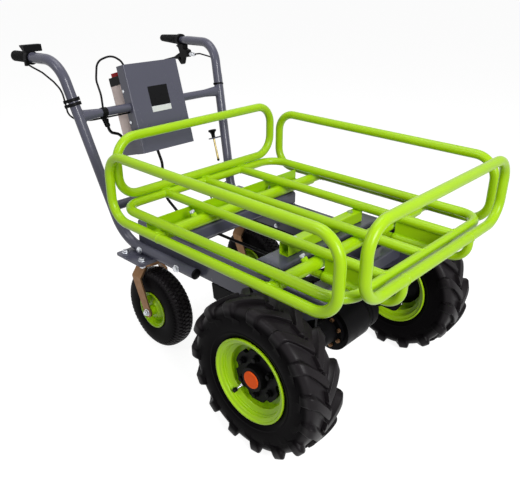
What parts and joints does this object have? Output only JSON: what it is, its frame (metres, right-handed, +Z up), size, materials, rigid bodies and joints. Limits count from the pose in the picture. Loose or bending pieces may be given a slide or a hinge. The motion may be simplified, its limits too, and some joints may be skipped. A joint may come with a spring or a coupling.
{
  "type": "electric platform barrow",
  "caption": "Electric platform barrow with lugged drive wheels, swivel casters, a tubular deck with sliding guard rails, raised handles, a control box and a lift-out battery.",
  "frame": {"origin": "on the ground under the middle of the bounding box", "axes": "+X towards the operator's left, +Y from the load end towards the handles, +Z up"},
  "size_m": [0.726, 1.3668, 0.8609],
  "materials": {
    "lime_paint": "glossy lime powder coat on steel tube",
    "grey_paint": "satin grey powder coat on steel",
    "black_metal": "black paint on cast housings",
    "zinc": "bright zinc plate",
    "yellow_zinc": "yellow chromate zinc plate",
    "aluminium": "plain extrusion",
    "tyre": "moulded black rubber",
    "grip_rubber": "ribbed soft rubber",
    "black_plastic": "moulded, fine grain",
    "cable_black": "smooth cable jacket",
    "battery_shell": "pale moulded case",
    "red_plastic": "glossy",
    "orange_plastic": "smooth moulded cap"
  },
  "bodies": {
    "chassis": {"chassis_rail_right": "grey_paint", "chassis_rail_left": "grey_paint", "front_cross_member": "grey_paint", "platform_beams": "grey_paint", "caster_cross_plate": "grey_paint", "handle_right": "grey_paint", "handle_left": "grey_paint", "upper_crossbar": "grey_paint", "lower_crossbar": "grey_paint", "box_cover": "grey_paint", "battery_tray": "grey_paint", "pin_bracket": "grey_paint", "caster_plates": "grey_paint", "gear_case": "black_metal", "motor": "black_metal", "axle_brackets": "black_metal", "handle_bolts": "zinc", "box_screws": "zinc", "clamp_screws": "zinc", "platform_bolts": "zinc", "caster_bolts": "zinc", "grip_left": "grip_rubber", "throttle_housing": "black_plastic", "brake_bracket": "black_plastic", "controller": "aluminium", "throttle_cable": "cable_black", "brake_cable": "cable_black", "battery_cable": "cable_black", "dock_cable": "cable_black", "motor_cable": "cable_black", "platform_loop": "lime_paint", "deck_slats": "lime_paint", "cross_sockets": "lime_paint", "arm_sockets": "lime_paint", "rear_angle": "lime_paint", "front_support_bar": "lime_paint", "guard_rail_rear": "lime_paint"},
    "battery": {"battery_case": "battery_shell", "battery_cap": "black_plastic"},
    "battery_button": {"battery_button": "red_plastic"},
    "throttle_twist": {"throttle_grip": "grip_rubber"},
    "brake_lever": {"brake_lever": "black_plastic"},
    "lock_pin": {"pull_pin": "zinc"},
    "side_guard_right": {"guard_rail_right": "lime_paint"},
    "side_guard_left": {"guard_rail_left": "lime_paint"},
    "front_guard": {"guard_rail_front": "lime_paint"},
    "drive_wheel_right": {"drive_tyre_right": "tyre", "drive_rim_right": "lime_paint", "drive_hub_right": "black_metal", "drive_cap_right": "orange_plastic"},
    "caster_yoke_right": {"caster_fork_right": "yellow_zinc"},
    "caster_wheel_right": {"caster_rim_right": "lime_paint", "caster_tyre_right": "tyre"},
    "drive_wheel_left": {"drive_tyre_left": "tyre", "drive_rim_left": "lime_paint", "drive_hub_left": "black_metal", "drive_cap_left": "orange_plastic"},
    "caster_yoke_left": {"caster_fork_left": "yellow_zinc"},
    "caster_wheel_left": {"caster_rim_left": "lime_paint", "caster_tyre_left": "tyre"}
  },
  "joints": [
    {"name": "battery_lift", "type": "slide", "parent": "chassis", "child": "battery", "axis": [0, 0.275, 0.9614], "range_m": [0, 0.25]},
    {"name": "battery_button_press", "type": "slide", "parent": "battery", "child": "battery_button", "axis": [0, -0.275, -0.9614], "range_m": [0, 0.004], "stiffness_N_per_m": 800, "springref_m": -0.002},
    {"name": "throttle_turn", "type": "hinge", "parent": "chassis", "child": "throttle_twist", "pos_m": [-0.30507, 0.55605, 0.82443], "axis": [-0.0748, 0.9968, -0.0289], "range_deg": [0, 70], "stiffness_Nm_per_rad": 0.5, "springref_deg": -5.73},
    {"name": "brake_squeeze", "type": "hinge", "parent": "chassis", "child": "brake_lever", "pos_m": [0.3047, 0.55105, 0.775], "axis": [0.9972, -0.0748, 0], "range_deg": [0, 20], "stiffness_Nm_per_rad": 2, "springref_deg": -8.59},
    {"name": "lock_pin_pull", "type": "slide", "parent": "chassis", "child": "lock_pin", "axis": [0, 0.275, 0.9614], "range_m": [0, 0.045]},
    {"name": "side_guard_right_slide", "type": "slide", "parent": "chassis", "child": "side_guard_right", "axis": [-1, 0, 0], "range_m": [0, 0.15]},
    {"name": "side_guard_left_slide", "type": "slide", "parent": "chassis", "child": "side_guard_left", "axis": [1, 0, 0], "range_m": [-0.024, 0.126]},
    {"name": "front_guard_slide", "type": "slide", "parent": "chassis", "child": "front_guard", "axis": [0, -1, 0], "range_m": [-0.013, 0.12]},
    {"name": "drive_wheel_right_spin", "type": "hinge", "parent": "chassis", "child": "drive_wheel_right", "pos_m": [-0.306, -0.41795, 0.2], "axis": [1, 0, 0], "continuous": true},
    {"name": "caster_swivel_right", "type": "hinge", "parent": "chassis", "child": "caster_yoke_right", "pos_m": [-0.21, 0.13805, 0.27], "axis": [0, 0, 1], "continuous": true},
    {"name": "caster_wheel_right_spin", "type": "hinge", "parent": "caster_yoke_right", "child": "caster_wheel_right", "pos_m": [-0.21, 0.09605, 0.125], "axis": [1, 0, 0], "continuous": true},
    {"name": "drive_wheel_left_spin", "type": "hinge", "parent": "chassis", "child": "drive_wheel_left", "pos_m": [0.306, -0.41795, 0.2], "axis": [1, 0, 0], "continuous": true},
    {"name": "caster_swivel_left", "type": "hinge", "parent": "chassis", "child": "caster_yoke_left", "pos_m": [0.21, 0.13805, 0.27], "axis": [0, 0, 1], "continuous": true},
    {"name": "caster_wheel_left_spin", "type": "hinge", "parent": "caster_yoke_left", "child": "caster_wheel_left", "pos_m": [0.21, 0.09605, 0.125], "axis": [1, 0, 0], "continuous": true}
  ]
}
